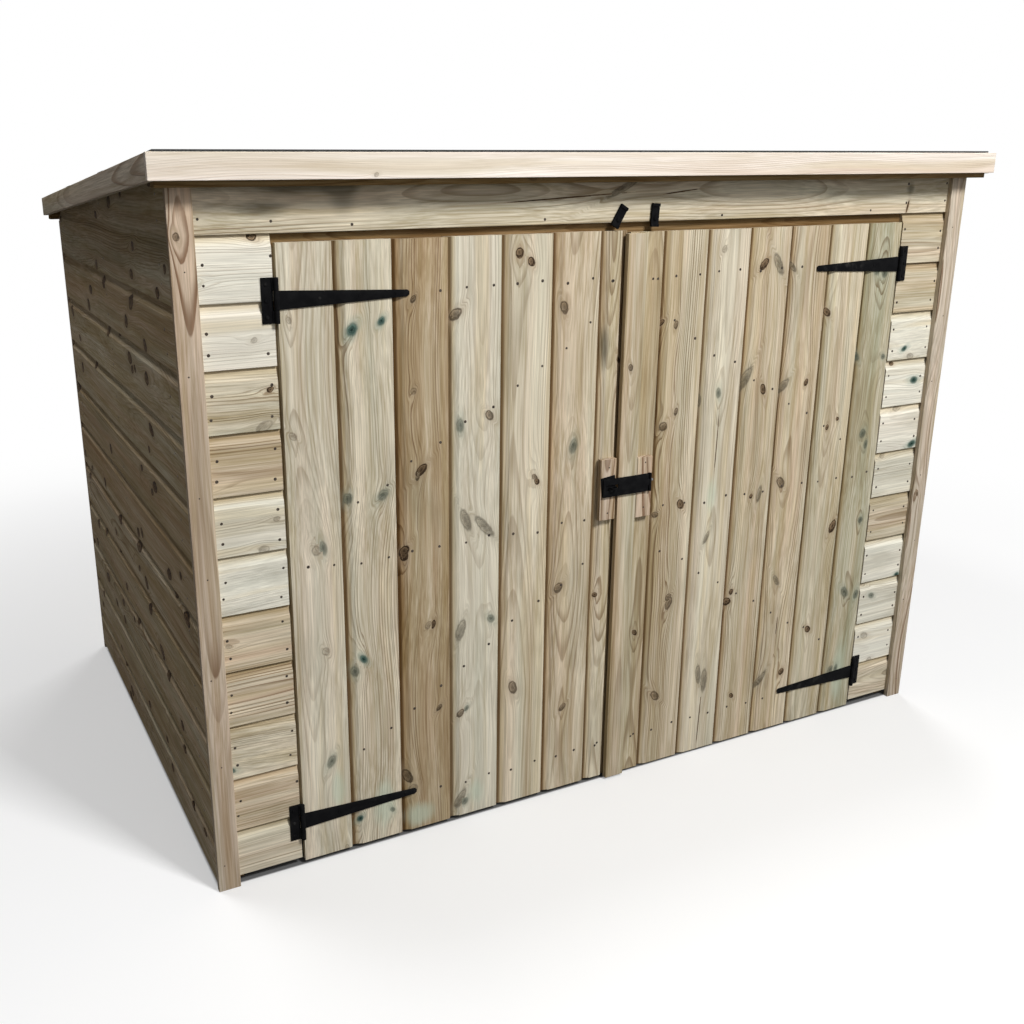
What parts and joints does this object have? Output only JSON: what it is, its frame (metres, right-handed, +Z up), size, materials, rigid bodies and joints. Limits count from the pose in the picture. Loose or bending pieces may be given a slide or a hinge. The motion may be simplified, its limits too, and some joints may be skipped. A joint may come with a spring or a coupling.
{
  "type": "timber bike shed",
  "caption": "Closed softwood bike shed with a pent roof falling to the back, shiplap walls, felt roof and a pair of ledged and braced doors with a hasp and turn buttons.",
  "frame": {"origin": "on the ground, below the middle of the roof's plan", "axes": "+Z up, +X to the right seen from the front, +Y towards the back; the doors face -Y"},
  "size_m": [1.896, 1.33, 1.3699],
  "materials": {
    "cladding": "pressure-treated pine shiplap, planed, greenish knots",
    "trim": "pressure-treated pine, planed",
    "framing": "sawn treated pine battens",
    "boarding": "planed treated pine boards",
    "fascia": "pale planed pine",
    "planed_block": "pale planed pine",
    "felt": "mineral-faced bitumen felt",
    "ironmongery": "black powder-coated steel, slight sheen"
  },
  "bodies": {
    "shed": {"floor_bearers": "framing", "floor_deck": "boarding", "wall_front_left": "cladding", "wall_front_right": "cladding", "header_board": "cladding", "wall_left": "cladding", "wall_right": "cladding", "wall_back": "cladding", "trims_front": "trim", "trims_back": "trim", "front_studs": "framing", "front_rails": "framing", "left_studs": "framing", "left_rails": "framing", "right_studs": "framing", "right_rails": "framing", "back_studs": "framing", "back_rails": "framing", "roof_rafters": "framing", "roof_battens": "framing", "roof_deck": "boarding", "roof_felt": "felt", "fascia_front": "fascia", "barge_left": "fascia", "barge_right": "fascia", "hinge_plates_left": "ironmongery", "hinge_plates_right": "ironmongery", "button_screws": "ironmongery"},
    "left_door": {"left_door_boards": "cladding", "left_door_ledges": "framing", "left_door_braces": "framing", "left_door_straps": "ironmongery", "left_hasp_block": "planed_block", "hasp_staple": "ironmongery"},
    "right_door": {"right_door_boards": "cladding", "right_door_ledges": "framing", "right_door_braces": "framing", "right_door_straps": "ironmongery", "cover_strip": "trim", "right_hasp_block": "planed_block", "hasp_leaf": "ironmongery"},
    "hasp_flap": {"hasp_flap": "ironmongery"},
    "left_turn_button": {"left_turn_button": "ironmongery"},
    "right_turn_button": {"right_turn_button": "ironmongery"}
  },
  "joints": [
    {"name": "right_door_hinge", "type": "hinge", "parent": "shed", "child": "right_door", "pos_m": [0.738, -0.617, 0.613], "axis": [0, 0, 1], "range_deg": [0, 170]},
    {"name": "left_door_hinge", "type": "hinge", "parent": "shed", "child": "left_door", "pos_m": [-0.738, -0.617, 0.613], "axis": [0, 0, -1], "range_deg": [0, 170]},
    {"name": "hasp_hinge", "type": "hinge", "parent": "right_door", "child": "hasp_flap", "pos_m": [0.058, -0.628, 0.701], "axis": [0, 0, 1], "range_deg": [0, 175]},
    {"name": "left_button_turn", "type": "hinge", "parent": "shed", "child": "left_turn_button", "pos_m": [-0.042, -0.6138, 1.242], "axis": [0, -1, 0], "continuous": true},
    {"name": "right_button_turn", "type": "hinge", "parent": "shed", "child": "right_turn_button", "pos_m": [0.046, -0.6138, 1.242], "axis": [0, -1, 0], "continuous": true}
  ],
  "couplings": [
    {"joint": "left_door_hinge", "follows": "right_door_hinge", "ratio": 1},
    {"joint": "hasp_hinge", "follows": "right_door_hinge", "ratio": 1.029}
  ]
}
